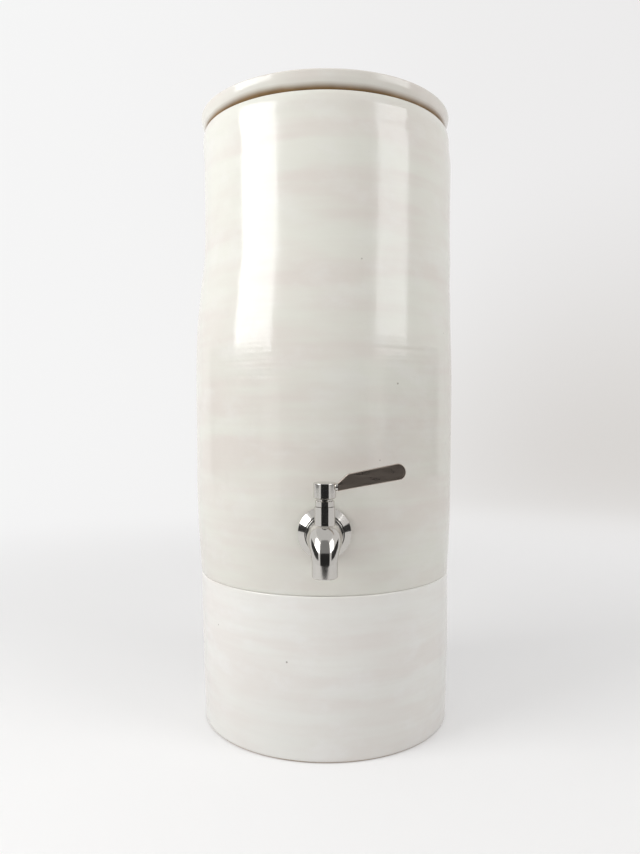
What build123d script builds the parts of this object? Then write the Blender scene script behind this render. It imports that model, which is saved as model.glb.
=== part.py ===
from build123d import *
import os
from math import cos, pi, sin

# A glazed stoneware water filter dispenser: a tall crock with a lid on a round stand, a
# ceramic filter bowl hung inside its rim, and a steel quarter-turn tap low on its front.
# Millimetres. +Z is up, the tap points towards -Y, and the origin is the centre of the
# stand's foot on the surface it stands on.

# Stand
stand_height = 129.0
foot_radius = 107.5
seam_radius = 110.0
stand_bulge = 0.8
stand_wall = 9.0
stand_foot_rounding = 2.2
seam_rounding = 1.3

# Crock: each station of its side is a radius and a height above the seam
crock_height = 381.0
swell_radius = 112.1
swell_height = 35.0
belly_radius = 113.4
belly_height = 118.0
draw_in_radius = 113.0
draw_in_height = 206.0
upper_radius = 109.0
upper_height = 276.0
shoulder_depth = 22.0
rim_radius = 104.0
crock_wall = 9.0
crock_floor = 11.0
floor_rounding = 9.0
nest_depth = 6.0
nest_clearance = 1.0
foot_ring_width = 13.0
foot_ring_height = 3.0
rim_rounding = 1.5
rim_wall = 6.0
gallery_depth = 8.0
ledge_width = 6.0
ledge_thickness = 10.0

# Upper chamber, hung in the gallery
hang_clearance = 1.0
flange_thickness = 7.8
chamber_wall = 8.0
chamber_floor = 9.0
chamber_depth = 150.0
chamber_taper = 3.0
chamber_rounding = 10.0

# Lid
lid_edge_radius = 109.4
lid_thickness = 14.5
lid_crown = 6.0
lid_side_bulge = 1.3
lid_edge_rounding = 1.6
lid_seat_inset = 0.6
lid_ring_depth = 8.0
lid_ring_width = 7.0
lid_ring_clearance = 1.0
lid_panel_thickness = 9.0

# Filter element, stood on the chamber's floor
dome_radius = 39.0
dome_height = 98.0
dome_wall = 7.0
core_clearance = 0.5
cup_wall = 3.0
cup_floor = 5.0
cup_height = 11.0
dome_fit = 0.3
stem_thread_radius = 6.0
stem_length = 30.0
stem_bore_radius = 2.5
stem_hole_clearance = 0.6
filter_washer_radius = 20.0
filter_washer_thickness = 3.0
wing_hub_radius = 10.5
wing_hub_height = 10.0
wing_span = 40.0
wing_thickness = 3.6
wing_height = 13.0

# Tap: distances out from the wall's face at the tap, and heights from the shank's axis
tap_height = 178.0
shank_radius = 7.95
shank_bore_radius = 4.5
shank_hole_clearance = 0.25
wall_hole_clearance = 0.6
shank_end_spare = 4.0
collar_radius = 14.1
collar_length = 3.2
spigot_radius = 9.4
spigot_length = 8.0
thread_clearance = 0.05
gasket_radius = 16.6
gasket_recess = 1.0
gasket_side_clearance = 0.3
flange_radius = 20.0
flange_wall_gap = 1.16
flange_rim = 0.9
flange_depth = 5.6
inner_gasket_radius = 13.0
inner_gasket_thickness = 2.5
tap_washer_radius = 13.0
tap_washer_thickness = 1.5
nut_flat_width = 24.0
nut_thickness = 7.0
nut_corner_chamfer = 1.0

barrel_radius = 13.0
bend_radius = 15.0
spout_radius = 9.1
spout_drop = 24.7
spout_reach_past_valve = 12.0
spout_edge = 0.7
outlet_radius = 6.5
outlet_length = 13.0
passage_radius = 4.2
neck_radius = 7.35
neck_height = 23.4

ball_radius = 7.5
ball_port_radius = 4.0
ball_slot_width = 3.0
ball_slot_depth = 2.4
seat_gap = 0.15
seat_reach = 8.0
seat_lip = 4.6
chamber_bore_radius = 8.6
seat_side_clearance = 0.1

stem_radius = 4.5
stem_fit = 0.07
stem_foot_height = 8.9
stem_shoulder_height = 17.6
stem_top_radius = 3.0
stem_top_fit = 0.06
tang_clearance = 0.1
tang_length = 6.0
tang_end_gap = 0.25
o_ring_section = 1.1
o_ring_play = 0.05
lower_groove_height = 11.0
upper_groove_height = 14.6
groove_width = 1.5

bonnet_radius = 6.95
bonnet_ring_height = 4.4
bonnet_thread_radius = 5.6
bonnet_thread_length = 5.0
bonnet_boss_radius = 5.9
bonnet_boss_height = 0.9
bonnet_edge = 0.4

hub_radius = 8.1
hub_height = 11.2
hub_gap = 0.6
hub_bottom_chamfer = 0.8
hub_top_rounding = 0.7
hub_socket_depth = 8.0
hub_socket_fit = 0.05
boss_radius = 2.9
boss_reach = 9.2
boss_drop = 3.3

lever_tilt = 11.0
lever_length = 58.4
lever_root_width = 5.4
lever_shoulder = 17.8
lever_shoulder_width = 10.6
lever_tip_width = 11.8
lever_thickness = 3.0
lever_corner = 5.2
lever_edge = 0.4
panel_margin = 1.5
panel_depth = 0.5
lever_tang_radius = 1.9
lever_tang_length = 4.6
lever_tang_fit = 0.05

grub_radius = 1.45
grub_length = 4.2
grub_fit = 0.05
grub_socket_width = 1.5
grub_socket_depth = 1.6

# Heights that follow
rim_height = stand_height + crock_height
gallery_height = rim_height - gallery_depth
floor_height = stand_height + crock_floor
gallery_radius = rim_radius - rim_wall
ledge_radius = gallery_radius - ledge_width
stand_mouth_radius = seam_radius - stand_wall

chamber_radius = ledge_radius - hang_clearance
chamber_inner_radius = chamber_radius - chamber_wall
chamber_bottom = rim_height - chamber_depth
chamber_floor_top = chamber_bottom + chamber_floor

cup_bottom = chamber_floor_top + filter_washer_thickness
cup_radius = dome_radius + dome_fit + cup_wall
dome_bottom = cup_bottom + cup_floor
stem_hole_radius = stem_thread_radius + stem_hole_clearance
lower_washer_bottom = chamber_bottom - filter_washer_thickness

hub_bottom = neck_height + bonnet_ring_height + bonnet_boss_height + hub_gap
boss_height = hub_bottom + hub_height - boss_drop
neck_bore_radius = stem_radius + stem_fit


def turned(outline):
    """Turn a closed outline of radius against height about the vertical axis."""
    return revolve(Plane.XZ * make_face(outline), Axis.Z)


def ring(outer_radius, inner_radius, low, high):
    """A plain round ring about the vertical axis."""
    corners = [(inner_radius, low), (outer_radius, low), (outer_radius, high), (inner_radius, high)]
    return turned(Polyline(*corners, close=True))


def disc(radius, low, high):
    return ring(radius, 0, low, high)


def ease(outline, corner, radius):
    """Round the corner of a flat outline that lies nearest to a point."""
    return fillet(outline.vertices().sort_by_distance(corner)[0], radius)


def crock_side(inset):
    """The crock's side from the seam to its shoulder, drawn in by an inset."""
    stations = [
        (seam_radius, 0),
        (swell_radius, swell_height),
        (belly_radius, belly_height),
        (draw_in_radius, draw_in_height),
        (upper_radius, upper_height),
        (upper_radius, crock_height - shoulder_depth),
    ]
    points = [(radius - inset, stand_height + height) for radius, height in stations]
    swell = (swell_radius - seam_radius, swell_height)
    return Spline(*points, tangents=[swell, (0, 1)])


def side_radius_at(height, inset):
    """The radius of the crock's side at a height, found by halving along the curve."""
    side = crock_side(inset)
    low, high = 0.0, 1.0
    for _ in range(40):
        middle = (low + high) / 2
        if (side @ middle).Y < height:
            low = middle
        else:
            high = middle
    return (side @ low).X


def wall_rise(radius):
    """How far the crock's wall stands out past its face at the tap, above or below it."""
    heights = [tap_height + share * radius for share in (-1, -0.5, 0, 0.5, 1)]
    return max(side_radius_at(height, 0) for height in heights) - tap_face


def wall_fall(radius):
    """How far the crock's inner wall stands in past its face at the tap, above or below it."""
    heights = [tap_height + share * radius for share in (-1, -0.5, 0, 0.5, 1)]
    return inner_face - min(side_radius_at(height, crock_wall) for height in heights)


# Distances out from, or in from, the crock's face at the tap
tap_face = side_radius_at(tap_height, 0)
inner_face = side_radius_at(tap_height, crock_wall)
wall_at_tap = tap_face - inner_face
flange_back = wall_rise(flange_radius) + flange_wall_gap
gasket_front = flange_back + gasket_recess
collar_back = flange_back + flange_depth
collar_front = collar_back + collar_length
spigot_end = collar_front + spigot_length
valve_reach = spigot_end + seat_reach
spout_reach = valve_reach + spout_reach_past_valve
bend_start = spout_reach - bend_radius
washer_face = wall_at_tap + wall_fall(tap_washer_radius) + inner_gasket_thickness
nut_face = washer_face + tap_washer_thickness
shank_inner_end = nut_face + nut_thickness + shank_end_spare


def crock_body():
    """The crock's outer form, solid through."""
    side = crock_side(0)
    shoulder = TangentArc(side @ 1, (rim_radius, rim_height), tangent=(0, 1))
    top = Line((rim_radius, rim_height), (0, rim_height))
    middle = Line((0, rim_height), (0, stand_height))
    foot = Line((0, stand_height), (seam_radius, stand_height))
    outline = make_face([side, shoulder, top, middle, foot])
    outline = ease(outline, (rim_radius, rim_height), rim_rounding)
    outline = ease(outline, (seam_radius, stand_height), seam_rounding)
    return revolve(Plane.XZ * outline, Axis.Z)


def crock_hollow():
    """The space inside the crock, up to the narrow ledge that carries the chamber."""
    side = crock_side(crock_wall)
    side_top = side @ 1
    slope_foot = gallery_height - ledge_thickness - (side_top.X - ledge_radius)
    wall = Line(side_top, (side_top.X, slope_foot))
    slope = Line((side_top.X, slope_foot), (ledge_radius, gallery_height - ledge_thickness))
    mouth = Line((ledge_radius, gallery_height - ledge_thickness), (ledge_radius, rim_height))
    top = Line((ledge_radius, rim_height), (0, rim_height))
    middle = Line((0, rim_height), (0, stand_height))
    foot = Line((0, stand_height), side @ 0)
    outline = make_face([side, wall, slope, mouth, top, middle, foot])
    outline -= Pos(0, stand_height) * Rectangle(4 * seam_radius, 2 * crock_floor)
    outline = ease(outline, (side_radius_at(floor_height, crock_wall), floor_height), floor_rounding)
    return revolve(Plane.XZ * outline, Axis.Z)


crock_outside = crock_body()
crock_inside = crock_hollow()

# The tap's two frames: +Z out of the wall along the shank, and +Z up the valve's stem
shank_frame = Pos(0, -tap_face, tap_height) * Rot(90, 0, 0)
valve_frame = Pos(0, -tap_face - valve_reach, tap_height)
tap_hole_radius = shank_radius + wall_hole_clearance


def base_stand():
    """The open ring under the crock."""
    waist = (foot_radius + seam_radius) / 2 + stand_bulge
    outside = ThreePointArc((foot_radius, 0), (waist, stand_height / 2), (seam_radius, stand_height))
    inside = ThreePointArc(
        (foot_radius - stand_wall, 0),
        (waist - stand_wall, stand_height / 2),
        (stand_mouth_radius, stand_height),
    )
    top = Line(outside @ 1, inside @ 1)
    foot = Line(outside @ 0, inside @ 0)
    outline = make_face([outside, inside, top, foot])
    outline = ease(outline, (foot_radius, 0), stand_foot_rounding)
    outline = ease(outline, (seam_radius, stand_height), seam_rounding)
    outline = ease(outline, (foot_radius - stand_wall, 0), seam_rounding)
    return revolve(Plane.XZ * outline, Axis.Z)


def crock():
    """The storage vessel: barrel, nesting foot, rim gallery and tap hole."""
    nest_radius = stand_mouth_radius - nest_clearance
    nest_low = stand_height - nest_depth
    step = Polyline(
        (0, stand_height + seam_rounding),
        (0, nest_low + foot_ring_height),
        (nest_radius - foot_ring_width, nest_low + foot_ring_height),
        (nest_radius - foot_ring_width, nest_low),
        (nest_radius, nest_low),
        (nest_radius, stand_height + seam_rounding),
        close=True,
    )
    foot = ease(make_face(step), (nest_radius, nest_low), seam_rounding)
    body = crock_outside + revolve(Plane.XZ * foot, Axis.Z)
    body -= crock_inside
    body -= ring(gallery_radius, 0, gallery_height, rim_height + gallery_depth)
    hole = shank_frame * disc(tap_hole_radius, -2 * wall_at_tap, 2 * wall_at_tap)
    return body - hole


def upper_chamber():
    """The bowl that hangs by its flange in the crock's gallery."""
    flange_radius_out = gallery_radius - hang_clearance
    flange_top = gallery_height + flange_thickness
    low_radius = chamber_radius - chamber_taper
    wall_shift = chamber_taper * chamber_floor / chamber_depth
    outline = make_face(
        Polyline(
            (stem_hole_radius, chamber_bottom),
            (low_radius, chamber_bottom),
            (chamber_radius, gallery_height),
            (flange_radius_out, gallery_height),
            (flange_radius_out, flange_top),
            (chamber_inner_radius, flange_top),
            (low_radius - chamber_wall + wall_shift, chamber_floor_top),
            (stem_hole_radius, chamber_floor_top),
            close=True,
        )
    )
    outline = ease(outline, (low_radius, chamber_bottom), chamber_rounding)
    outline = ease(outline, (low_radius - chamber_wall, chamber_floor_top), chamber_rounding / 2)
    outline = ease(outline, (chamber_inner_radius, flange_top), rim_rounding)
    outline = ease(outline, (flange_radius_out, flange_top), rim_rounding)
    return revolve(Plane.XZ * outline, Axis.Z)


def lid():
    """The flared lid with its low crown and the ring that finds the chamber's mouth."""
    edge_height = rim_height + lid_thickness
    seat_radius = rim_radius - lid_seat_inset
    ring_radius = chamber_inner_radius - lid_ring_clearance
    panel_radius = ring_radius - lid_ring_width
    panel_height = edge_height - lid_panel_thickness
    crown = ThreePointArc(
        (0, edge_height + lid_crown),
        (lid_edge_radius / 2, edge_height + lid_crown * 0.77),
        (lid_edge_radius, edge_height),
    )
    side_middle = ((seat_radius + lid_edge_radius) / 2 + lid_side_bulge, rim_height + lid_thickness / 2)
    side = ThreePointArc((lid_edge_radius, edge_height), side_middle, (seat_radius, rim_height))
    under = Polyline(
        (seat_radius, rim_height),
        (ring_radius, rim_height),
        (ring_radius, rim_height - lid_ring_depth),
        (panel_radius, rim_height - lid_ring_depth),
        (panel_radius, panel_height),
        (0, panel_height + lid_crown),
        (0, edge_height + lid_crown),
    )
    outline = make_face([crown, side] + under.edges())
    outline = ease(outline, (lid_edge_radius, edge_height), lid_edge_rounding)
    outline = ease(outline, (seat_radius, rim_height), lid_edge_rounding)
    outline = ease(outline, (ring_radius, rim_height - lid_ring_depth), lid_edge_rounding)
    outline = ease(outline, (panel_radius, rim_height - lid_ring_depth), lid_edge_rounding)
    return revolve(Plane.XZ * outline, Axis.Z)


def dome_form(radius, top, bottom):
    """A solid dome: a straight side under half of a ball."""
    side = Line((radius, bottom), (radius, top - radius))
    cap = RadiusArc((radius, top - radius), (0, top), -radius)
    middle = Line((0, top), (0, bottom))
    foot = Line((0, bottom), (radius, bottom))
    return revolve(Plane.XZ * make_face([side, cap, middle, foot]), Axis.Z)


def filter_dome():
    top = dome_bottom + dome_height
    return dome_form(dome_radius, top, dome_bottom) - dome_form(dome_radius - dome_wall, top - dome_wall, dome_bottom)


def filter_carbon_core():
    gap = dome_wall + core_clearance
    return dome_form(dome_radius - gap, dome_bottom + dome_height - gap, dome_bottom)


def filter_base():
    """The moulded cup that holds the dome, with its hollow threaded stem."""
    cup = disc(cup_radius, cup_bottom, cup_bottom + cup_height)
    cup -= disc(dome_radius + dome_fit, dome_bottom, cup_bottom + 2 * cup_height)
    stem = disc(stem_thread_radius, cup_bottom - stem_length, cup_bottom)
    stem = chamfer(stem.edges().filter_by(GeomType.CIRCLE).sort_by(Axis.Z)[0], stem_hole_clearance)
    return cup + stem - disc(stem_bore_radius, cup_bottom - 2 * stem_length, dome_bottom)


def filter_wing_nut():
    """The clamping nut under the chamber: a turned hub with two thumb wings."""
    top = lower_washer_bottom
    nut = disc(wing_hub_radius, top - wing_hub_height, top)
    wing = Plane.XZ * SlotOverall(wing_span, wing_height)
    wings = Pos(0, wing_thickness / 2, top - wing_hub_height) * extrude(wing, wing_thickness)
    wings &= disc(wing_span, top - 2 * wing_hub_height, top)
    nut += wings
    return nut - disc(stem_thread_radius + thread_clearance, top - 2 * wing_hub_height, top + wing_hub_height)


def tap_escutcheon():
    """The dished flange: a thin rim, a cone up to the collar and a recess for the gasket."""
    outline = Polyline(
        (shank_radius + shank_hole_clearance, gasket_front),
        (gasket_radius + gasket_side_clearance, gasket_front),
        (gasket_radius + gasket_side_clearance, flange_back),
        (flange_radius, flange_back),
        (flange_radius, flange_back + flange_rim),
        (collar_radius + flange_rim, collar_back),
        (shank_radius + shank_hole_clearance, collar_back),
        close=True,
    )
    return shank_frame * turned(outline)


def tap_shank():
    """The hollow shank: collar, spigot into the tap body and tube through the wall."""
    shank = disc(collar_radius, collar_back, collar_front)
    shank = fillet(shank.edges().filter_by(GeomType.CIRCLE), flange_rim / 2)
    shank += disc(shank_radius, -shank_inner_end, collar_back)
    shank += disc(spigot_radius, collar_front, spigot_end)
    shank -= ring(spigot_radius, spigot_radius - o_ring_section, collar_front, collar_front + groove_width)
    return shank_frame * (shank - disc(shank_bore_radius, -2 * shank_inner_end, 2 * spigot_end))


def shank_o_ring():
    """The seal in the groove between the collar and the spigot's thread."""
    centre_radius = spigot_radius - o_ring_section / 2
    return shank_frame * (Pos(0, 0, collar_front + groove_width / 2) * Torus(centre_radius, o_ring_section / 2))


def tap_outer_gasket():
    """A soft ring with a flat front and a back that follows the crock's wall."""
    bore = shank_radius + shank_hole_clearance
    return shank_frame * ring(gasket_radius, bore, -gasket_radius, gasket_front) - crock_outside


def tap_inner_gasket():
    """A soft ring between the crock's inner wall and the flat washer."""
    bore = shank_radius + shank_hole_clearance
    blank = ring(inner_gasket_radius, bore, -washer_face, 0)
    return (shank_frame * blank) & crock_inside


def tap_washer():
    bore = shank_radius + shank_hole_clearance
    return shank_frame * ring(tap_washer_radius, bore, -nut_face, -washer_face)


def tap_lock_nut():
    """The hexagonal nut inside the crock, with its corners turned away."""
    nut = extrude(RegularPolygon(nut_flat_width / 2, 6, major_radius=False), nut_thickness)
    corner_radius = nut_flat_width / 2 / cos(pi / 6)
    blank = Cylinder(corner_radius, nut_thickness, align=(Align.CENTER, Align.CENTER, Align.MIN))
    nut &= chamfer(blank.edges().filter_by(GeomType.CIRCLE), nut_corner_chamfer)
    nut -= disc(shank_radius + thread_clearance, -nut_thickness, 2 * nut_thickness)
    return shank_frame * (Pos(0, 0, -nut_face - nut_thickness) * nut)


def elbow():
    """The tapering bend from the barrel down to the spout, lofted through turned sections."""
    steps = 6
    sections = []
    for step in range(steps + 1):
        share = step / steps
        turn = share * pi / 2
        out = bend_start + bend_radius * sin(turn)
        drop = bend_radius * (1 - cos(turn))
        radius = barrel_radius - (barrel_radius - spout_radius) * (1 - cos(pi * share)) / 2
        along = Vector(0, -cos(turn), -sin(turn))
        plane = Plane(origin=(0, -out, -drop), x_dir=(1, 0, 0), z_dir=along)
        sections.append(plane * Circle(radius))
    return loft(sections)


def tap_body():
    """The cast body: barrel, bend, spout and neck, with its bores."""
    wall_frame = Pos(0, -tap_face, tap_height)
    along_shank = Rot(90, 0, 0)
    neck_place = Pos(0, -valve_reach, 0)
    spout_place = Pos(0, -spout_reach, 0)
    barrel = along_shank * disc(barrel_radius, collar_front, bend_start)
    spout = disc(spout_radius, -spout_drop, -bend_radius)
    spout = chamfer(spout.edges().filter_by(GeomType.CIRCLE).sort_by(Axis.Z)[0], spout_edge)
    body = barrel + elbow() + spout_place * spout
    body += neck_place * disc(neck_radius, 0, neck_height)
    body -= along_shank * disc(spigot_radius + thread_clearance, 0, spigot_end)
    body -= along_shank * disc(chamber_bore_radius, spigot_end, valve_reach + seat_reach)
    body -= along_shank * disc(passage_radius, valve_reach, spout_reach)
    body -= neck_place * disc(neck_bore_radius, 0, neck_height + bonnet_ring_height)
    thread_low = neck_height - bonnet_thread_length
    body -= neck_place * disc(bonnet_thread_radius + thread_clearance, thread_low, 2 * neck_height)
    body -= spout_place * disc(passage_radius, -spout_drop, 0)
    body -= spout_place * Sphere(passage_radius)
    body -= spout_place * disc(outlet_radius, -2 * spout_drop, outlet_length - spout_drop)
    return wall_frame * body


def valve_seat(side):
    """A seat ring, dished to the ball, behind it (side 1) or in front of it (side -1)."""
    seat_radius = chamber_bore_radius - seat_side_clearance
    seat = ring(seat_radius, passage_radius, seat_lip, seat_reach) - Sphere(ball_radius + seat_gap)
    return valve_frame * (Rot(-90 * side, 0, 0) * seat)


def valve_ball():
    """The ball, closed: its port lies across the flow and its slot takes the stem's tang."""
    ball = Sphere(ball_radius)
    ball -= Rot(0, 90, 0) * Cylinder(ball_port_radius, 4 * ball_radius)
    slot = Box(ball_slot_width, 4 * ball_radius, 2 * ball_slot_depth)
    return valve_frame * (ball - Pos(0, 0, ball_radius) * slot)


def stem_groove(height):
    return ring(2 * stem_radius, stem_radius - o_ring_section, height - groove_width / 2, height + groove_width / 2)


def valve_stem():
    """The stem: tang, seal land with two grooves, and the post that the cap sits on."""
    tang_low = ball_radius - ball_slot_depth + tang_end_gap
    tang = Box(ball_slot_width - 2 * tang_clearance, tang_length, stem_foot_height - tang_low)
    stem = disc(stem_radius, stem_foot_height, stem_shoulder_height)
    stem += disc(stem_top_radius, stem_shoulder_height, hub_bottom + hub_socket_depth - tang_end_gap)
    stem += Pos(0, 0, (tang_low + stem_foot_height) / 2) * tang
    stem -= stem_groove(lower_groove_height) + stem_groove(upper_groove_height)
    return valve_frame * stem


def stem_o_ring(height):
    centre_radius = stem_radius - o_ring_section / 2 + o_ring_play / 2
    return valve_frame * (Pos(0, 0, height) * Torus(centre_radius, o_ring_section / 2))


def tap_bonnet():
    """The screwed ring that keeps the stem in the neck."""
    top = neck_height + bonnet_ring_height
    bonnet = disc(bonnet_radius, neck_height, top)
    bonnet = chamfer(bonnet.edges().filter_by(GeomType.CIRCLE), bonnet_edge)
    bonnet += disc(bonnet_thread_radius, neck_height - bonnet_thread_length, neck_height)
    bonnet += disc(bonnet_boss_radius, top, top + bonnet_boss_height)
    return valve_frame * (bonnet - disc(stem_top_radius + stem_top_fit, 0, 2 * top))


def lever_hub():
    """The cap on the stem, with the side boss that the lever plugs into."""
    hub = disc(hub_radius, hub_bottom, hub_bottom + hub_height)
    rims = hub.edges().filter_by(GeomType.CIRCLE).sort_by(Axis.Z)
    hub = chamfer(rims[0], hub_bottom_chamfer)
    hub = fillet(hub.edges().filter_by(GeomType.CIRCLE).sort_by(Axis.Z)[-1], hub_top_rounding)
    along_lever = Pos(0, 0, boss_height) * Rot(0, 90, 0)
    across = Pos(0, 0, boss_height) * Rot(-90, 0, 0)
    hub += along_lever * disc(boss_radius, 0, boss_reach)
    hub -= disc(stem_top_radius + hub_socket_fit, hub_bottom - hub_height, hub_bottom + hub_socket_depth)
    tang_end = boss_reach - lever_tang_length - tang_end_gap
    hub -= along_lever * disc(lever_tang_radius + lever_tang_fit, tang_end, 2 * boss_reach)
    return valve_frame * (hub - across * disc(grub_radius + grub_fit, 0, 2 * hub_radius))


def lever_outline(margin):
    """The paddle's outline, seen face on, drawn in by a margin."""
    low_shoulder = (lever_shoulder, -lever_shoulder_width / 2)
    low_tip = (lever_length, -lever_tip_width / 2)
    high_tip = (lever_length, lever_tip_width / 2)
    high_shoulder = (lever_shoulder, lever_shoulder_width / 2)
    paddle = make_face(Polyline(low_shoulder, low_tip, high_tip, high_shoulder, close=True))
    paddle = ease(paddle, low_tip, lever_corner)
    paddle = ease(paddle, high_tip, lever_corner)
    return offset(paddle, -margin) if margin else paddle


def lever_panel():
    """The sunk panel on a face of the paddle: the outline drawn in, with round ends."""
    panel = lever_outline(panel_margin)
    inner_corners = panel.vertices().sort_by(Axis.X)[:2]
    return fillet(inner_corners, lever_corner - 2 * panel_margin)


def lever():
    """The flat paddle, tilted up from the cap, with a sunk panel on each face."""
    root_low = -lever_shoulder_width / 2
    root = make_face(
        Polyline(
            (0, root_low),
            (lever_shoulder, root_low),
            (lever_shoulder, lever_shoulder_width / 2),
            (boss_reach, root_low + lever_root_width),
            (0, root_low + lever_root_width),
            close=True,
        )
    )
    blade = extrude(Plane.XZ * (root + lever_outline(0)), lever_thickness / 2, both=True)
    blade = chamfer(blade.faces().filter_by(Axis.Y).edges(), lever_edge)
    sunk = extrude(Plane.XZ * lever_panel(), panel_depth, both=True)
    for face in (-1, 1):
        blade -= Pos(0, face * lever_thickness / 2, 0) * sunk
    root_middle = root_low + lever_root_width / 2
    lift = boss_height - boss_reach * sin(lever_tilt * pi / 180) - root_middle
    blade = Pos(0, 0, lift) * (Rot(0, -lever_tilt, 0) * blade)
    blade -= Box(2 * boss_reach, 4 * hub_radius, 4 * hub_bottom)
    tang_middle = boss_reach - lever_tang_length / 2
    tang = Pos(tang_middle, 0, boss_height) * Rot(0, 90, 0) * Cylinder(lever_tang_radius, lever_tang_length)
    return valve_frame * (blade + tang)


def hub_grub_screw():
    """The socket screw behind the cap that bears on the stem."""
    screw = disc(grub_radius, 0, grub_length)
    socket = extrude(RegularPolygon(grub_socket_width / 2, 6, major_radius=False), grub_socket_depth)
    screw -= Pos(0, 0, grub_length - grub_socket_depth) * socket
    seat = stem_top_radius + hub_socket_fit
    return valve_frame * (Pos(0, seat, boss_height) * (Rot(-90, 0, 0) * screw))


def washer_under_cup():
    return ring(filter_washer_radius, stem_hole_radius, chamber_floor_top, cup_bottom)


def washer_under_floor():
    return ring(filter_washer_radius, stem_hole_radius, lower_washer_bottom, chamber_bottom)


pieces = {
    "base_stand": base_stand(),
    "crock": crock(),
    "upper_chamber": upper_chamber(),
    "lid": lid(),
    "filter_dome": filter_dome(),
    "filter_carbon_core": filter_carbon_core(),
    "filter_base": filter_base(),
    "filter_seal_washer": washer_under_cup(),
    "filter_lower_washer": washer_under_floor(),
    "filter_wing_nut": filter_wing_nut(),
    "tap_body": tap_body(),
    "tap_shank": tap_shank(),
    "shank_o_ring": shank_o_ring(),
    "tap_escutcheon": tap_escutcheon(),
    "tap_outer_gasket": tap_outer_gasket(),
    "tap_inner_gasket": tap_inner_gasket(),
    "tap_washer": tap_washer(),
    "tap_lock_nut": tap_lock_nut(),
    "valve_seat_rear": valve_seat(1),
    "valve_seat_front": valve_seat(-1),
    "valve_ball": valve_ball(),
    "valve_stem": valve_stem(),
    "stem_o_ring_lower": stem_o_ring(lower_groove_height),
    "stem_o_ring_upper": stem_o_ring(upper_groove_height),
    "tap_bonnet": tap_bonnet(),
    "lever_hub": lever_hub(),
    "lever": lever(),
    "hub_grub_screw": hub_grub_screw(),
}

os.makedirs("parts", exist_ok=True)
for name, piece in pieces.items():
    export_step(piece, f"parts/{name}.step")
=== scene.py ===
from math import cos, exp, pi, radians, sin

import bmesh
import bpy
from mathutils import Matrix, Vector, noise


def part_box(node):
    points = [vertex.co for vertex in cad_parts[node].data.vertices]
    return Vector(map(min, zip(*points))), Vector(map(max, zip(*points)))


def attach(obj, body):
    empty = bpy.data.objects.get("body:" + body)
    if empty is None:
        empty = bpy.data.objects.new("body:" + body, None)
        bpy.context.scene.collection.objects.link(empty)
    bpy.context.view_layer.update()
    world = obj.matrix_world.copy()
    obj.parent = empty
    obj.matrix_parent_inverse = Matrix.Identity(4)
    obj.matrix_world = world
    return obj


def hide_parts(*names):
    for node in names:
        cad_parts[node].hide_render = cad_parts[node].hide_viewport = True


# A glazed stoneware water filter dispenser on a pale studio sweep, in metres.
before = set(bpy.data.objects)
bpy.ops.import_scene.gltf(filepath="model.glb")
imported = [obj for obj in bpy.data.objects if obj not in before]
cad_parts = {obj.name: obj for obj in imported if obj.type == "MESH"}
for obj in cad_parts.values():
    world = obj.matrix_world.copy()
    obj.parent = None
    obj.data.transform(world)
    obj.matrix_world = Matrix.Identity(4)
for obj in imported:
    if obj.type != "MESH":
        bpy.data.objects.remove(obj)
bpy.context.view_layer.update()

mm = 0.001

# The photograph's view: the focal length in pixels of its long side, and where the camera stands
photo_long_side = 854
photo_focal = 712.3
sensor_size = 36.0
camera_place = Vector((-3.4, -644.5, 270.2)) * mm
camera_pitch = radians(-1.38)

# Turned pottery: how finely its outline and its circle are divided
weld = 0.002 * mm
cut_azimuth = radians(37)
outline_step = 4 * mm
circle_steps = 240
gentle_turn = radians(8)
smooth_passes = 12
skin_depth = 6 * mm
skin_blend = 5 * mm
hole_steps = 96


# Section: outlines cut from the frame

def section(node):
    """The outline of a turned node as ordered (radius, height) points, cut from its CAD mesh."""
    cut = bmesh.new()
    cut.from_mesh(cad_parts[node].data)
    out = Vector((cos(cut_azimuth), sin(cut_azimuth), 0))
    across = Vector((-sin(cut_azimuth), cos(cut_azimuth), 0))

    def bisect(normal, both):
        every = cut.verts[:] + cut.edges[:] + cut.faces[:]
        bmesh.ops.bisect_plane(cut, geom=every, plane_no=normal, clear_inner=True, clear_outer=both)

    bmesh.ops.remove_doubles(cut, verts=cut.verts, dist=weld)
    bisect(across, True)
    bmesh.ops.remove_doubles(cut, verts=cut.verts, dist=weld)
    bisect(out, False)
    bmesh.ops.remove_doubles(cut, verts=cut.verts, dist=weld)
    ends = [vert for vert in cut.verts if len(vert.link_edges) == 1]
    start = min(ends or cut.verts, key=lambda vert: vert.co.z)
    chain, edge = [start], None
    while True:
        onward = [link for link in chain[-1].link_edges if link != edge]
        if not onward:
            break
        edge = onward[0]
        vert = edge.other_vert(chain[-1])
        if vert == start:
            break
        chain.append(vert)
    outline = [Vector((vert.co.dot(out), vert.co.z)) for vert in chain]
    cut.free()
    return outline, not ends


def divided(outline, closed, step):
    """The outline with every run cut into pieces no longer than a step."""
    ends = outline[1:] + outline[:1] if closed else outline[1:]
    points = []
    for start, end in zip(outline, ends):
        pieces = max(1, round((end - start).length / step))
        points += [start.lerp(end, piece / pieces) for piece in range(pieces)]
    return points if closed else points + [outline[-1]]


def smoothed(points, closed):
    """The points with the small kinks in gentle stretches evened out and the corners kept."""
    count = len(points)
    for _ in range(smooth_passes):
        last = list(points)
        for index in range(count):
            if not closed and index in (0, count - 1):
                continue
            before, here, after = last[index - 1], last[index], last[(index + 1) % count]
            turn = abs((here - before).angle_signed(after - here, 0))
            if turn < gentle_turn:
                points[index] = here.lerp((before + after) / 2, 0.5)
    return points


# Section: hand-thrown shape

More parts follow.
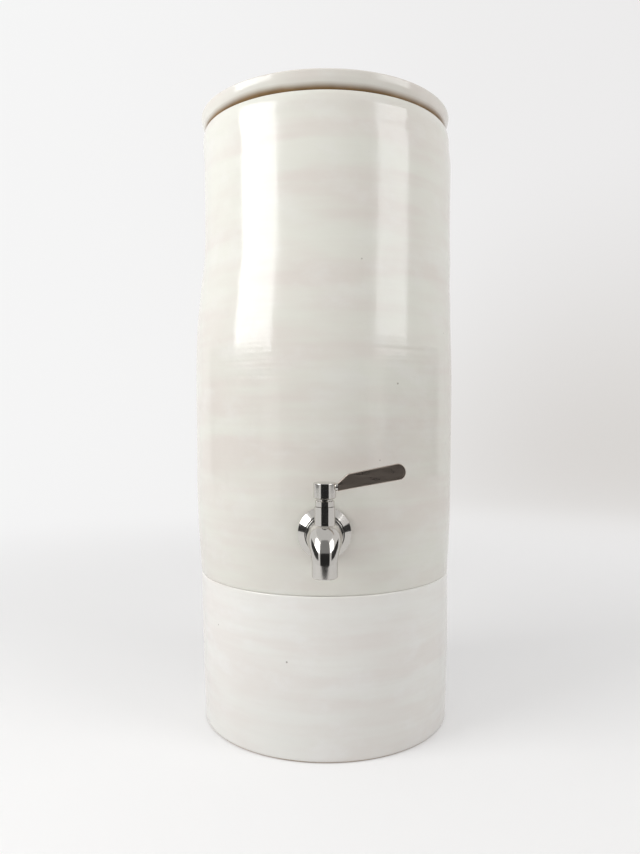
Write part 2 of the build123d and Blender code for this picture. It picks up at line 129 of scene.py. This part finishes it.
# The outer wall's lean to the right: heights in metres, leans in millimetres
lean_stations = [
    (0.0, 1.6),
    (0.06, 1.5),
    (0.11, 0.9),
    (0.14, 0.4),
    (0.2, 0.0),
    (0.34, 0.0),
    (0.37, 1.2),
    (0.405, 3.2),
    (0.48, 3.3),
    (0.5, 2.0),
    (0.51, 1.6),
]
foot_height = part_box("crock")[0].z
rim_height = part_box("crock")[1].z
tap_height = (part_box("tap_escutcheon")[0].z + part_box("tap_escutcheon")[1].z) / 2
tap_face = Vector((0, -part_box("crock")[1].x, tap_height))

# Round the tap the wall stays as the solid has it
calm_radius = 34 * mm

# The thrown shoulder stays full until just under the rim
shoulder_swell = 3.4 * mm
swell_start = 20 * mm
swell_rise = 22 * mm

# Throwing marks: how often each wave changes around and upward, and its share of the whole
broad_wave = (1.1, 9, 0.55)
ring_wave = (0.5, 42, 0.33)
fine_wave = (0.8, 130, 0.12)


def eased(share):
    """A share from 0 to 1 that starts and ends gently."""
    share = min(max(share, 0.0), 1.0)
    return share * share * (3 - 2 * share)


def lean_at(height):
    """How far the outer wall stands to the right of the axis at a height."""
    if height <= lean_stations[0][0]:
        return lean_stations[0][1] * mm
    for (low, low_lean), (high, high_lean) in zip(lean_stations, lean_stations[1:]):
        if height <= high:
            share = eased((height - low) / (high - low))
            return (low_lean + (high_lean - low_lean) * share) * mm
    return lean_stations[-1][1] * mm


def swell_at(height):
    """How far the outer wall stands out at a height under the rim."""
    return shoulder_swell * eased((height - rim_height + swell_start) / swell_rise)


def thrown(azimuth, height, depth, seed):
    """How far a thrown wall dips in at a place: broad dents and slow rings, never outward."""
    around = Vector((cos(azimuth), sin(azimuth), 0))
    waves = ((broad_wave, seed, 0), (ring_wave, 0, seed), (fine_wave, seed, seed))
    dip = 0.5
    for (turns, rise, share), aside, apart in waves:
        dip += share / 2 * noise.noise(around * turns + Vector((aside, apart, height * rise)))
    return -depth * min(max(dip, 0.0), 1.0)


def bridged(mesh, low, high):
    """Faces between two rings of points. A ring of one point is the tip of a fan."""
    steps = max(len(low), len(high))
    if steps == 1:
        return
    for step in range(steps):
        after = (step + 1) % steps
        if len(low) == 1:
            mesh.faces.new((low[0], high[after], high[step]))
        elif len(high) == 1:
            mesh.faces.new((low[step], low[after], high[0]))
        else:
            mesh.faces.new((low[step], low[after], high[after], high[step]))


def placed(name, mesh):
    """A smooth-shaded object in the scene, made from a finished mesh."""
    data = bpy.data.meshes.new(name)
    mesh.to_mesh(data)
    mesh.free()
    data.shade_smooth()
    piece = bpy.data.objects.new(name, data)
    bpy.context.scene.collection.objects.link(piece)
    return piece


def turned(name, node, depth, lean, seed, outline_step=outline_step, swell=lambda height: 0.0):
    """A finely divided turned piece in a node's place, with its own slight unevenness."""
    outline, closed = section(node)
    points = smoothed(divided(outline, closed, outline_step), closed)
    height_slices = {}
    for point in points:
        key = round(point.y / outline_step)
        for near in (key - 1, key, key + 1):
            height_slices[near] = max(height_slices.get(near, 0), point.x)
    mesh = bmesh.new()
    rings = []
    for point in points:
        if point.x < weld:
            rings.append([mesh.verts.new((0, 0, point.y))])
            continue
        outside = height_slices[round(point.y / outline_step)]
        outer_share = eased((point.x - outside + skin_depth) / skin_blend)
        ring = []
        for step in range(circle_steps):
            azimuth = 2 * pi * step / circle_steps
            base = Vector((point.x * cos(azimuth), point.x * sin(azimuth), point.y))
            calm = 1 - exp(-((base - tap_face).length / calm_radius) ** 2)
            dip = thrown(azimuth, point.y, depth, seed) * calm * outer_share
            radius = point.x + dip + swell(point.y) * outer_share
            shift = lean(point.y) * outer_share
            ring.append(mesh.verts.new((radius * cos(azimuth) + shift, radius * sin(azimuth), point.y)))
        rings.append(ring)
    onward = rings[1:] + rings[:1] if closed else rings[1:]
    for low, high in zip(rings, onward):
        bridged(mesh, low, high)
    bmesh.ops.recalc_face_normals(mesh, faces=mesh.faces)
    return placed(name, mesh)


def bored(piece, radius, start, length):
    """Cut a round hole along -Y through a piece."""
    bpy.ops.mesh.primitive_cylinder_add(vertices=hole_steps, radius=radius, depth=length)
    cutter = bpy.context.object
    cutter.matrix_world = Matrix.Translation(start) @ Matrix.Rotation(pi / 2, 4, "X")
    cut = piece.modifiers.new("hole", "BOOLEAN")
    cut.object = cutter
    cut.operation = "DIFFERENCE"
    cut.solver = "EXACT"
    bpy.context.view_layer.update()
    evaluated = piece.evaluated_get(bpy.context.evaluated_depsgraph_get())
    data = bpy.data.meshes.new_from_object(evaluated)
    piece.modifiers.clear()
    piece.data = data
    piece.data.shade_smooth()
    bpy.data.objects.remove(cutter)


# Section: materials

def add(tree, kind, sources=None, **settings):
    """Add a shader node: settings are its own properties, sources its inputs as values or links."""
    made = tree.nodes.new("ShaderNode" + kind)
    for name, value in settings.items():
        setattr(made, name, value)
    for socket, source in (sources or {}).items():
        if isinstance(source, bpy.types.NodeSocket):
            tree.links.new(source, made.inputs[socket])
        else:
            made.inputs[socket].default_value = source
    return made


def linear(red, green, blue):
    """A colour given as the eye reads it, 0 to 255, in the linear values that shaders take."""
    return (*(((c / 255 + 0.055) / 1.055) ** 2.4 for c in (red, green, blue)), 1)


def surface(name, **sockets):
    """A new material with its shader's plain sockets set. Returns (material, tree, shader)."""
    material = bpy.data.materials.new(name)
    material.use_nodes = True
    tree = material.node_tree
    shader = tree.nodes["Principled BSDF"]
    for socket, value in sockets.items():
        shader.inputs[socket.replace("_", " ")].default_value = value
    return material, tree, shader


def stretched(tree, scale):
    """Coordinates on the piece in metres, stretched by a scale for each axis."""
    place = add(tree, "TexCoord").outputs["Object"]
    return add(tree, "Mapping", {"Vector": place, "Scale": scale}).outputs["Vector"]


def grain(tree, scale, size, detail=2.0, roughness=0.5):
    """A noise pattern between 0 and 1."""
    sources = {"Vector": stretched(tree, scale), "Scale": size, "Detail": detail, "Roughness": roughness}
    return add(tree, "TexNoise", sources).outputs["Fac"]


def ranged(tree, source, low, high, start=0.0, end=1.0):
    """A value mapped smoothly from one range to another."""
    sources = {0: source, 1: low, 2: high, 3: start, 4: end}
    return add(tree, "MapRange", sources, interpolation_type="SMOOTHSTEP").outputs[0]


def mixed(tree, share, first, second, blend="MIX"):
    """Two colours mixed by a share."""
    node = add(tree, "Mix", data_type="RGBA", blend_type=blend)
    for socket, source in ((0, share), (6, first), (7, second)):
        if isinstance(source, bpy.types.NodeSocket):
            tree.links.new(source, node.inputs[socket])
        else:
            node.inputs[socket].default_value = source
    return node.outputs[2]


def bumped(tree, shader, *layers):
    """Lay bump on a shader, each layer a pattern and its height in metres."""
    normal = None
    for pattern, height in layers:
        sources = {"Height": pattern, "Distance": height, "Strength": 1.0}
        if normal is not None:
            sources["Normal"] = normal
        normal = add(tree, "Bump", sources).outputs["Normal"]
    tree.links.new(normal, shader.inputs["Normal"])


def height_on(tree):
    """The height on the piece in metres."""
    place = add(tree, "TexCoord").outputs["Object"]
    return add(tree, "SeparateXYZ", {"Vector": place}).outputs["Z"]


cream = linear(226, 225, 215)
blush = linear(222, 215, 207)
milk = linear(230, 228, 222)
crock_tones = (cream, blush, milk)
# The stand's glaze is painted lighter than the crock's: painted light that makes up for the light the low
# stand lacks
stand_lit_tones = (linear(238, 237, 231), linear(234, 229, 223), linear(242, 241, 238))
glaze_strength = 0.4
glaze_gloss = (0.1, 0.2)
clay_roughness = 0.75

# Patterns in the glaze: the stretch on each axis, the number in a metre, the detail and its roughness
drift_pattern = ((1, 1, 3.2), 9, 3.0, 0.55)
band_pattern = ((0.6, 0.6, 5.5), 12, 2.0, 0.5)
cloud_pattern = ((1, 1, 1.6), 30, 4.0, 0.6)
gloss_pattern = ((1, 1, 2), 40, 3.0, 0.5)
ripple_pattern = ((0.4, 0.4, 6), 14, 2.0, 0.5)
peel_pattern = ((1, 1, 1.4), 160, 3.0, 0.5)
ripple_height = 0.35 * mm
peel_height = 0.04 * mm

# Iron specks: the cells in a metre, the share of cells without one, the speck's edge and its strength
speck_cells = 70.0
speckless_share = 0.92
speck_edge = (0.03, 0.075)
speck_strength = 0.6
speck_brown = linear(96, 74, 58)
bare_clay = linear(186, 160, 130)
toasted_clay = linear(156, 126, 94)
# The lid's underside: bare clay darkened as painted shade in the gap over the crock's rim, darkest at the
# rim
lid_shaded_clay = linear(150, 120, 80)
lid_deep_shade_clay = linear(92, 68, 42)
# The crock's foot: bare clay darkened into a painted shadow line in the seam on the stand
seam_shadow_clay = linear(74, 65, 52)
seam_shade = linear(54, 47, 38)


def glaze(name, seed, clay_and_shade_share=None, tones=crock_tones):
    """Off-white glaze: soft cream and blush drifts, faint throwing rings and a few iron specks."""
    material, tree, shader = surface(name, Specular_IOR_Level=glaze_strength)

    def pattern(shape, shift=seed):
        scale, size, detail, roughness = shape
        return grain(tree, scale, size + shift, detail, roughness)

    drifts = add(
        tree, "Math", {0: pattern(drift_pattern), 1: pattern(band_pattern)}, operation="ADD"
    ).outputs[0]
    body = mixed(tree, ranged(tree, drifts, 0.75, 1.25, 0, 0.9), tones[0], tones[1])
    clouds = ranged(tree, pattern(cloud_pattern), 0.45, 0.75, 0, 0.5)
    body = mixed(tree, clouds, body, tones[2])
    places = stretched(tree, (1, 1, 1))
    cells = add(tree, "TexVoronoi", {"Vector": places, "Scale": speck_cells, "Randomness": 1.0})
    rare = add(tree, "SeparateColor", {"Color": cells.outputs["Color"]}).outputs["Red"]
    few = add(tree, "Math", {0: rare, 1: speckless_share}, operation="GREATER_THAN").outputs[0]
    near = ranged(tree, cells.outputs["Distance"], *speck_edge, 1, 0)
    specks = add(tree, "Math", {0: few, 1: near}, operation="MULTIPLY").outputs[0]
    specks = add(tree, "Math", {0: specks, 1: speck_strength}, operation="MULTIPLY").outputs[0]
    body = mixed(tree, specks, body, speck_brown)
    rough_drift = ranged(tree, pattern(gloss_pattern), 0.3, 0.7, *glaze_gloss)
    # An optional band of bare clay; on the crock's foot and under the lid its dark tones are painted
    # shade
    if clay_and_shade_share is not None:
        share, clay = clay_and_shade_share(tree)
        body = mixed(tree, share, body, clay)
        rough_drift = add(tree, "Mix", {0: share, 2: rough_drift, 3: clay_roughness}).outputs[0]
    tree.links.new(body, shader.inputs["Base Color"])
    tree.links.new(rough_drift, shader.inputs["Roughness"])
    ripple, peel = pattern(ripple_pattern), pattern(peel_pattern, 0)
    bumped(tree, shader, (ripple, ripple_height), (peel, peel_height))
    return material


def clay_and_shade_below(low, high, wander, light=bare_clay, dark=toasted_clay):
    """A share of bare clay below a height on the piece, with a wandering edge; given dark tones it also
    paints shade there.
    """

    def share(tree):
        edge = grain(tree, (1, 1, 0.5), 14, 3.0)
        lift = ranged(tree, edge, 0.2, 0.8, -wander, wander)
        height = add(tree, "Math", {0: height_on(tree), 1: lift}, operation="ADD").outputs[0]
        bare = ranged(tree, height, low, high, 1, 0)
        tone = mixed(tree, grain(tree, (1, 1, 1), 60, 4.0), light, dark)
        return bare, tone

    return share


def metal(name, colour, roughness, grain_scale, lines, dent):
    """Worked steel: a base tone with fine streaks in its gloss and a slight waviness."""
    material, tree, shader = surface(name, Base_Color=colour, Metallic=1.0, Roughness=roughness)
    streaks = grain(tree, grain_scale, lines, 3.0, 0.6)
    gloss = ranged(tree, streaks, 0.25, 0.75, roughness * 0.85, roughness * 1.2)
    tree.links.new(gloss, shader.inputs["Roughness"])
    wave = grain(tree, (1, 1, 1), 90, 1.0)
    bumped(tree, shader, (wave, dent), (streaks, dent * 0.08))
    return material


def plain(name, colour, shade, roughness, size, height):
    """A moulded, rubber or pressed material: two close tones in a fine mottle with a slight texture."""
    material, tree, shader = surface(name, Roughness=roughness)
    mottle = grain(tree, (1, 1, 1), size, 4.0, 0.6)
    tree.links.new(mixed(tree, mottle, colour, shade), shader.inputs["Base Color"])
    bumped(tree, shader, (mottle, height))
    return material


polished = metal("polished_steel", linear(200, 197, 192), 0.1, (1, 1, 8), 300, 0.03 * mm)
brushed = metal("brushed_steel", linear(178, 174, 168), 0.3, (60, 500, 500), 1, 0.004 * mm)
lever_steel = metal("lever_steel", linear(180, 167, 156), 0.3, (60, 400, 400), 1, 0.002 * mm)
porous = plain("porous_ceramic", linear(238, 234, 222), linear(222, 216, 202), 0.85, 500, 0.1 * mm)
carbon = plain("carbon", linear(48, 48, 50), linear(26, 26, 28), 0.8, 800, 0.3 * mm)
white_plastic = plain("white_plastic", linear(236, 236, 232), linear(228, 228, 222), 0.35, 200, 0.01 * mm)
silicone = plain("silicone", linear(232, 230, 224), linear(222, 220, 212), 0.5, 260, 0.02 * mm)
black_rubber = plain("black_rubber", linear(38, 38, 40), linear(28, 28, 30), 0.55, 400, 0.02 * mm)
seat_plastic = plain("seat_plastic", linear(240, 240, 236), linear(232, 232, 228), 0.4, 300, 0.01 * mm)
chamber_glaze = glaze("chamber_glaze", 3)


# Section: pottery

# How deep the throwing marks are on each piece, and how far the lid sits to the right
crock_marks = 0.35 * mm
stand_marks = 0.4 * mm
lid_marks = 0.3 * mm
lid_lean = 0.9 * mm
lid_step = 3 * mm

# Where bare clay shows: from all bare to all glazed, as heights above each piece's lowest outer edge. On
# the crock's foot and under the lid the bare clay is darkened as painted shade
seam_line = (1.4 * mm, 2.2 * mm)
lid_line = (1.5 * mm, 6.5 * mm)
stand_line = (0.4 * mm, 1.6 * mm)
seam_wander = 0.15 * mm
lid_wander = 0.8 * mm
stand_wander = 0.3 * mm

crock = turned("crock_thrown", "crock", crock_marks, lean_at, 11, swell=swell_at)
hole_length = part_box("crock")[1].x
hole_radius = 8.55 * mm
bored(crock, hole_radius, Vector((0, -hole_length, tap_height)), hole_length)
seam_low, seam_high = (foot_height + step for step in seam_line)
# Bare clay at the crock's foot in dark tones: a painted shadow line along the seam
crock_clay_and_seam_shadow = clay_and_shade_below(seam_low, seam_high, seam_wander, seam_shadow_clay, seam_shade)
crock.data.materials.append(glaze("crock_glaze", 0, crock_clay_and_seam_shadow))
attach(crock, "vessel")
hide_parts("crock")

stand = turned("stand_thrown", "base_stand", stand_marks, lean_at, 23)
stand_clay = clay_and_shade_below(*stand_line, stand_wander)
stand.data.materials.append(glaze("stand_glaze", 1.5, stand_clay, stand_lit_tones))
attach(stand, "vessel")
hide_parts("base_stand")

lid = turned("lid_thrown", "lid", lid_marks, lambda height: lid_lean, 37, lid_step)
lid_low, lid_high = (rim_height + step for step in lid_line)
# Bare clay under the lid in dark tones, partly painted shade of the gap over the rim
lid_clay_and_shade = clay_and_shade_below(lid_low, lid_high, lid_wander, lid_shaded_clay, lid_deep_shade_clay)
lid.data.materials.append(glaze("lid_glaze", 4, lid_clay_and_shade))
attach(lid, "vessel")
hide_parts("lid")


# Section: carried-over pieces

finishes = {
    "upper_chamber": chamber_glaze,
    "filter_dome": porous,
    "filter_carbon_core": carbon,
    "filter_base": white_plastic,
    "filter_wing_nut": white_plastic,
    "filter_seal_washer": silicone,
    "filter_lower_washer": silicone,
    "tap_body": polished,
    "tap_escutcheon": polished,
    "tap_bonnet": polished,
    "lever_hub": polished,
    "tap_shank": polished,
    "lever": lever_steel,
    "tap_washer": brushed,
    "tap_lock_nut": brushed,
    "valve_ball": polished,
    "valve_stem": brushed,
    "hub_grub_screw": brushed,
    "tap_outer_gasket": silicone,
    "tap_inner_gasket": silicone,
    "shank_o_ring": black_rubber,
    "stem_o_ring_lower": black_rubber,
    "stem_o_ring_upper": black_rubber,
    "valve_seat_rear": seat_plastic,
    "valve_seat_front": seat_plastic,
}
for node, finish in finishes.items():
    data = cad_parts[node].data
    data.materials.clear()
    data.materials.append(finish)


# Section: studio

floor_radius = 1.5
cove_radius = 0.9
wall_height = 2.6
floor_shares = (0.1, 0.2, 0.4, 0.6, 0.8, 1.0)
cove_steps = 12
sweep_sides = 96
unseen_tone = linear(210, 209, 209)
floor_tone = linear(247, 246, 245)
# The backdrop's glow is painted lighter on the left and darker on the right, painted shade as from the
# key light on the left, and darker round one place as a painted shadow of the object
backdrop_lit_left = linear(248, 248, 248)
backdrop_dim_right = linear(238, 237, 237)
backdrop_painted_shadow = linear(218, 215, 212)
painted_shadow_place = (1.0, 1.7, 0.15)
painted_shadow_reach = 1.3


# The lights, in metres
softbox_distance = 1.2
softbox_top = 1.15
softbox_tint = (0.98, 0.99, 1.0)
side_card_azimuth = radians(82)
sky_strength = 0.75


def studio_sweep():
    """A round floor that curves up into a wall all round."""
    outline = [(0.0, 0.0)]
    outline += [(share * floor_radius, 0.0) for share in floor_shares]
    for step in range(1, cove_steps + 1):
        turn = step / cove_steps * pi / 2
        outline.append((floor_radius + cove_radius * sin(turn), cove_radius * (1 - cos(turn))))
    outline.append((floor_radius + cove_radius, wall_height))
    mesh = bmesh.new()
    rings = []
    for radius, height in outline:
        if radius == 0:
            rings.append([mesh.verts.new((0, 0, height))])
            continue
        turns = [2 * pi * side / sweep_sides for side in range(sweep_sides)]
        rings.append([mesh.verts.new((radius * cos(t), radius * sin(t), height)) for t in turns])
    for low, high in zip(rings, rings[1:]):
        bridged(mesh, low, high)
    return placed("sweep", mesh)


def sweep_material():
    """Pale paper that keeps the object's shadow near by and fades far off to a glowing backdrop with
    painted shade: darker to the right, with a painted shadow patch behind the object on the right.
    """
    material = bpy.data.materials.new("sweep_paper")
    material.use_nodes = True
    tree = material.node_tree
    tree.nodes.clear()
    path = add(tree, "LightPath").outputs
    seen = add(tree, "Math", {0: path["Is Camera Ray"], 1: path["Is Glossy Ray"]}, operation="MAXIMUM")
    seen = add(tree, "Math", {0: seen.outputs[0], 1: path["Is Transmission Ray"]}, operation="MAXIMUM")
    paper = add(tree, "BsdfDiffuse", {"Color": floor_tone})
    dim = add(tree, "BsdfDiffuse", {"Color": unseen_tone})
    place = add(tree, "TexCoord").outputs["Object"]
    reach = add(tree, "VectorMath", {0: place}, operation="LENGTH").outputs["Value"]
    across = add(tree, "SeparateXYZ", {"Vector": place}).outputs["X"]
    backdrop = mixed(tree, ranged(tree, across, -1.5, 1.5), backdrop_lit_left, backdrop_dim_right)
    # A painted shadow: the backdrop's glow darkens round a place behind and right of the object
    apart = add(tree, "VectorMath", {0: place, 1: painted_shadow_place}, operation="DISTANCE").outputs["Value"]
    backdrop = mixed(tree, ranged(tree, apart, 0.0, painted_shadow_reach, 1, 0), backdrop, backdrop_painted_shadow)
    glow = add(tree, "Emission", {"Color": backdrop, "Strength": 1.0})
    far = ranged(tree, reach, 0.2, 1.3, 0.3, 0.95)
    shown = add(tree, "MixShader", {0: far, 1: paper.outputs[0], 2: glow.outputs[0]})
    both = add(tree, "MixShader", {0: seen.outputs[0], 1: dim.outputs[0], 2: shown.outputs[0]})
    output = add(tree, "OutputMaterial")
    tree.links.new(both.outputs[0], output.inputs["Surface"])
    return material


def softbox(name, azimuth, distance, low, high, width, radiance):
    """A soft light that stands on its edge beside the object and faces it."""
    light = bpy.data.lights.new(name, "AREA")
    light.shape = "RECTANGLE"
    light.size = width
    light.size_y = high - low
    light.energy = radiance * pi * width * (high - low)
    light.color = softbox_tint
    lamp = bpy.data.objects.new(name, light)
    lamp.location = (distance * sin(azimuth), -distance * cos(azimuth), (low + high) / 2)
    aim = -lamp.location
    aim.z = 0
    lamp.rotation_euler = aim.to_track_quat("-Z", "Y").to_euler()
    lamp.visible_camera = False
    bpy.context.scene.collection.objects.link(lamp)


def card(name, azimuth, distance, low, high, width, tone):
    """A flat card that only reflections see."""
    half = width / 2
    mesh = bpy.data.meshes.new(name)
    corners = [(-half, 0, low), (half, 0, low), (half, 0, high), (-half, 0, high)]
    mesh.from_pydata(corners, [], [(0, 1, 2, 3)])
    material = bpy.data.materials.new(name)
    material.use_nodes = True
    tree = material.node_tree
    tree.nodes.clear()
    glow = add(tree, "Emission", {"Color": (tone, tone, tone, 1)})
    tree.links.new(glow.outputs[0], add(tree, "OutputMaterial").inputs["Surface"])
    mesh.materials.append(material)
    flag = bpy.data.objects.new(name, mesh)
    flag.matrix_world = Matrix.Rotation(azimuth, 4, "Z") @ Matrix.Translation((0, -distance, 0))
    flag.visible_camera = flag.visible_diffuse = flag.visible_shadow = False
    flag.visible_transmission = False
    bpy.context.scene.collection.objects.link(flag)


sweep = studio_sweep()
sweep.data.materials.append(sweep_material())

softbox("softbox_left", radians(-61.5), softbox_distance, 0.445, softbox_top, 0.78, 7.4)
softbox("softbox_right", radians(57.8), softbox_distance, 0.46, softbox_top, 0.64, 4.5)
card("dark_card", 0, 0.76, 0.005, 0.375, 1.08, 0.03)
for side, azimuth in (("left", -side_card_azimuth), ("right", side_card_azimuth)):
    card("dark_card_" + side, azimuth, 1.0, 0.11, 0.42, 1.2, 0.05)
card("grey_card", 0, 1.1, 0.45, 1.6, 1.7, 0.3)

world = bpy.data.worlds.new("studio")
bpy.context.scene.world = world
world.use_nodes = True
sky = world.node_tree.nodes["Background"]
sky.inputs["Color"].default_value = (1, 1, 1, 1)
sky.inputs["Strength"].default_value = sky_strength

camera_data = bpy.data.cameras.new("camera")
camera_data.sensor_width = sensor_size
camera_data.lens = photo_focal / photo_long_side * sensor_size
camera_data.clip_start = 0.01
camera = bpy.data.objects.new("camera", camera_data)
turn = Matrix.Rotation(pi / 2 + camera_pitch, 4, "X")
camera.matrix_world = Matrix.Translation(camera_place) @ turn
bpy.context.scene.collection.objects.link(camera)
bpy.context.scene.camera = camera
bpy.context.scene.view_settings.view_transform = "Standard"
